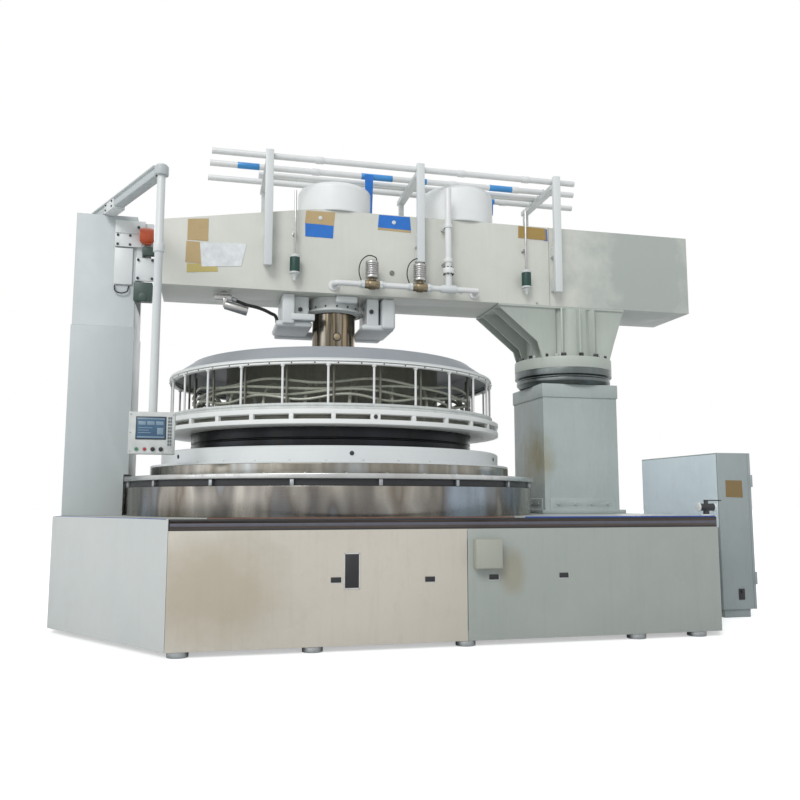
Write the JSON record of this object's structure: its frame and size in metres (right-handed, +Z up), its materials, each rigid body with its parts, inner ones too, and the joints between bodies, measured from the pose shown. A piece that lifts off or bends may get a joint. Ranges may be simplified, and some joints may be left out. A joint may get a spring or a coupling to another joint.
{
  "type": "double-side polishing machine",
  "caption": "Floor-standing double-side polishing machine with a lapping basin, planetary carriers, a caged upper plate and a swinging overhead beam.",
  "frame": {"origin": "on the floor, in the middle of the machine's footprint", "axes": "+X to the operator's right along the beam, +Y to the rear, +Z up"},
  "size_m": [5.0114, 3.4, 3.515],
  "materials": {
    "paint_white": "satin off-white enamel",
    "paint_grey": "satin pale grey enamel",
    "paint_blue_grey": "satin blue-grey enamel",
    "machined_steel": "turned and ground",
    "stainless": "brushed stainless",
    "bright_chrome": "polished",
    "plate_iron": "ground cast iron, grey",
    "dark_steel": "blackened bearing steel",
    "black_trim": "moulded black",
    "zinc": "zinc plated",
    "carrier_laminate": "epoxy glass laminate",
    "green_glass": "green sight canister",
    "bronze": "cast bronze",
    "hose_rubber": "matt hose",
    "slurry_hose": "translucent tube",
    "orange_paint": "gloss orange",
    "motor_grey": "hammered grey-blue",
    "panel_white": "fine texture",
    "button_green": "gloss",
    "button_red": "gloss"
  },
  "bodies": {
    "base": {"base_frame": "paint_white", "levelling_feet": "zinc", "front_cover_left": "paint_white", "front_cover_right": "paint_white", "side_covers": "paint_white", "cover_fittings": "black_trim", "junction_box": "paint_white", "deck_trim": "dark_steel", "basin": "stainless", "guard_ring": "paint_white", "left_column": "paint_grey", "latch_housing": "paint_grey", "lock_cylinder": "orange_paint", "pedestal": "paint_white", "slew_ring": "dark_steel", "cabinet": "paint_grey", "drain_valve": "dark_steel", "spindle_housing": "motor_grey", "bearings": "machined_steel", "drive_motors": "motor_grey"},
    "lock_bolt": {"lock_bolt": "bright_chrome"},
    "cabinet_door": {"cabinet_door": "paint_grey"},
    "cabinet_handle": {"cabinet_handle": "black_trim"},
    "drain_lever": {"drain_lever": "black_trim"},
    "lower_table": {"lower_plate": "plate_iron", "lower_spindle": "machined_steel"},
    "lower_pinion": {"lower_pinion": "machined_steel"},
    "sun": {"sun_gear": "machined_steel"},
    "ring": {"ring_gear": "machined_steel"},
    "ring_pinion": {"ring_pinion": "machined_steel"},
    "swing_beam": {"beam": "paint_white", "slew_neck": "paint_white", "dome_covers": "paint_white", "hanger_plate": "paint_white", "lift_cylinders": "motor_grey", "pipe_posts": "paint_white", "pipe_rack": "paint_white", "feed_line": "paint_white", "sight_canisters": "green_glass", "hydraulic_hose": "hose_rubber"},
    "lift": {"lift_tube": "bright_chrome", "upper_motor": "motor_grey"},
    "upper_table": {"upper_cover": "paint_blue_grey", "cage_frame": "paint_white", "plate_hub": "motor_grey", "slotted_ring": "paint_white", "upper_plate": "plate_iron", "slurry_hoses": "slurry_hose"},
    "hmi_arm": {"hmi_arm": "paint_grey"},
    "pendant": {"hmi_pendant": "paint_grey", "hmi_panel": "panel_white"},
    "button_start": {"button_start": "button_green"},
    "button_stop": {"button_stop": "button_red"},
    "selector_left": {"selector_left": "black_trim"},
    "selector_right": {"selector_right": "black_trim"},
    "carrier_1": {"carrier_1": "carrier_laminate"},
    "carrier_2": {"carrier_2": "carrier_laminate"},
    "carrier_3": {"carrier_3": "carrier_laminate"},
    "carrier_4": {"carrier_4": "carrier_laminate"},
    "carrier_5": {"carrier_5": "carrier_laminate"}
  },
  "joints": [
    {"name": "beam_swing", "type": "hinge", "parent": "base", "child": "swing_beam", "pos_m": [1.41235, 0.04, 1.93], "axis": [0, 0, 1], "range_deg": [-90, 0]},
    {"name": "plate_lift", "type": "slide", "parent": "swing_beam", "child": "lift", "axis": [0, 0, 1], "range_m": [-0.0215, 0.27]},
    {"name": "upper_spin", "type": "hinge", "parent": "lift", "child": "upper_table", "pos_m": [-0.56065, 0.04, 1.88], "axis": [0, 0, 1], "continuous": true},
    {"name": "lower_spin", "type": "hinge", "parent": "base", "child": "lower_table", "pos_m": [-0.56065, 0.04, 0.95], "axis": [0, 0, 1], "continuous": true},
    {"name": "lower_pinion_spin", "type": "hinge", "parent": "base", "child": "lower_pinion", "pos_m": [-0.56065, 0.54, 0.55], "axis": [0, 0, 1], "continuous": true},
    {"name": "sun_spin", "type": "hinge", "parent": "base", "child": "sun", "pos_m": [-0.56065, 0.04, 1.1], "axis": [0, 0, 1], "continuous": true},
    {"name": "ring_spin", "type": "hinge", "parent": "base", "child": "ring", "pos_m": [-0.56065, 0.04, 0.93], "axis": [0, 0, 1], "continuous": true},
    {"name": "ring_pinion_spin", "type": "hinge", "parent": "base", "child": "ring_pinion", "pos_m": [-0.56065, 1.32, 0.93], "axis": [0, 0, 1], "continuous": true},
    {"name": "carrier_1_spin", "type": "hinge", "parent": "base", "child": "carrier_1", "pos_m": [0.17012, 0.04, 1.189], "axis": [0, 0, 1], "continuous": true},
    {"name": "carrier_2_spin", "type": "hinge", "parent": "base", "child": "carrier_2", "pos_m": [-0.33483, 0.735, 1.189], "axis": [0, 0, 1], "continuous": true},
    {"name": "carrier_3_spin", "type": "hinge", "parent": "base", "child": "carrier_3", "pos_m": [-1.15186, 0.46953, 1.189], "axis": [0, 0, 1], "continuous": true},
    {"name": "carrier_4_spin", "type": "hinge", "parent": "base", "child": "carrier_4", "pos_m": [-1.15186, -0.38954, 1.189], "axis": [0, 0, 1], "continuous": true},
    {"name": "carrier_5_spin", "type": "hinge", "parent": "base", "child": "carrier_5", "pos_m": [-0.33483, -0.655, 1.189], "axis": [0, 0, 1], "continuous": true},
    {"name": "lock_bolt_slide", "type": "slide", "parent": "base", "child": "lock_bolt", "axis": [1, 0, 0], "range_m": [0, 0.06]},
    {"name": "cabinet_door_swing", "type": "hinge", "parent": "base", "child": "cabinet_door", "pos_m": [2.48935, -0.9147, 0.64], "axis": [0, 0, 1], "range_deg": [-100, 0]},
    {"name": "cabinet_handle_turn", "type": "hinge", "parent": "cabinet_door", "child": "cabinet_handle", "pos_m": [2.48935, 0.125, 0.6075], "axis": [1, 0, 0], "range_deg": [-90, 0]},
    {"name": "drain_lever_turn", "type": "hinge", "parent": "base", "child": "drain_lever", "pos_m": [1.73935, -1.46, 0.858], "axis": [0, 0, 1], "range_deg": [-90, 0]},
    {"name": "hmi_arm_swing", "type": "hinge", "parent": "base", "child": "hmi_arm", "pos_m": [-2.41065, 0.04, 2.96], "axis": [0, 0, 1], "range_deg": [-60, 0]},
    {"name": "pendant_turn", "type": "hinge", "parent": "hmi_arm", "child": "pendant", "pos_m": [-1.85565, -1.09, 2.96], "axis": [0, 0, 1], "range_deg": [-60, 60]},
    {"name": "button_start_press", "type": "slide", "parent": "pendant", "child": "button_start", "axis": [0, 1, 0], "range_m": [0, 0.004], "stiffness_N_per_m": 600, "springref_m": -0.002},
    {"name": "button_stop_press", "type": "slide", "parent": "pendant", "child": "button_stop", "axis": [0, 1, 0], "range_m": [0, 0.004], "stiffness_N_per_m": 600, "springref_m": -0.002},
    {"name": "selector_left_turn", "type": "hinge", "parent": "pendant", "child": "selector_left", "pos_m": [-1.84565, -1.145, 1.171], "axis": [0, 1, 0], "range_deg": [-60, 60]},
    {"name": "selector_right_turn", "type": "hinge", "parent": "pendant", "child": "selector_right", "pos_m": [-1.79765, -1.145, 1.171], "axis": [0, 1, 0], "range_deg": [-60, 60]}
  ],
  "couplings": [
    {"joint": "lower_pinion_spin", "follows": "lower_spin", "ratio": -4},
    {"joint": "ring_spin", "follows": "sun_spin", "ratio": -0.28205},
    {"joint": "ring_pinion_spin", "follows": "sun_spin", "ratio": 2.5385},
    {"joint": "carrier_1_spin", "follows": "sun_spin", "ratio": -0.78571},
    {"joint": "carrier_2_spin", "follows": "sun_spin", "ratio": -0.78571},
    {"joint": "carrier_3_spin", "follows": "sun_spin", "ratio": -0.78571},
    {"joint": "carrier_4_spin", "follows": "sun_spin", "ratio": -0.78571},
    {"joint": "carrier_5_spin", "follows": "sun_spin", "ratio": -0.78571}
  ]
}
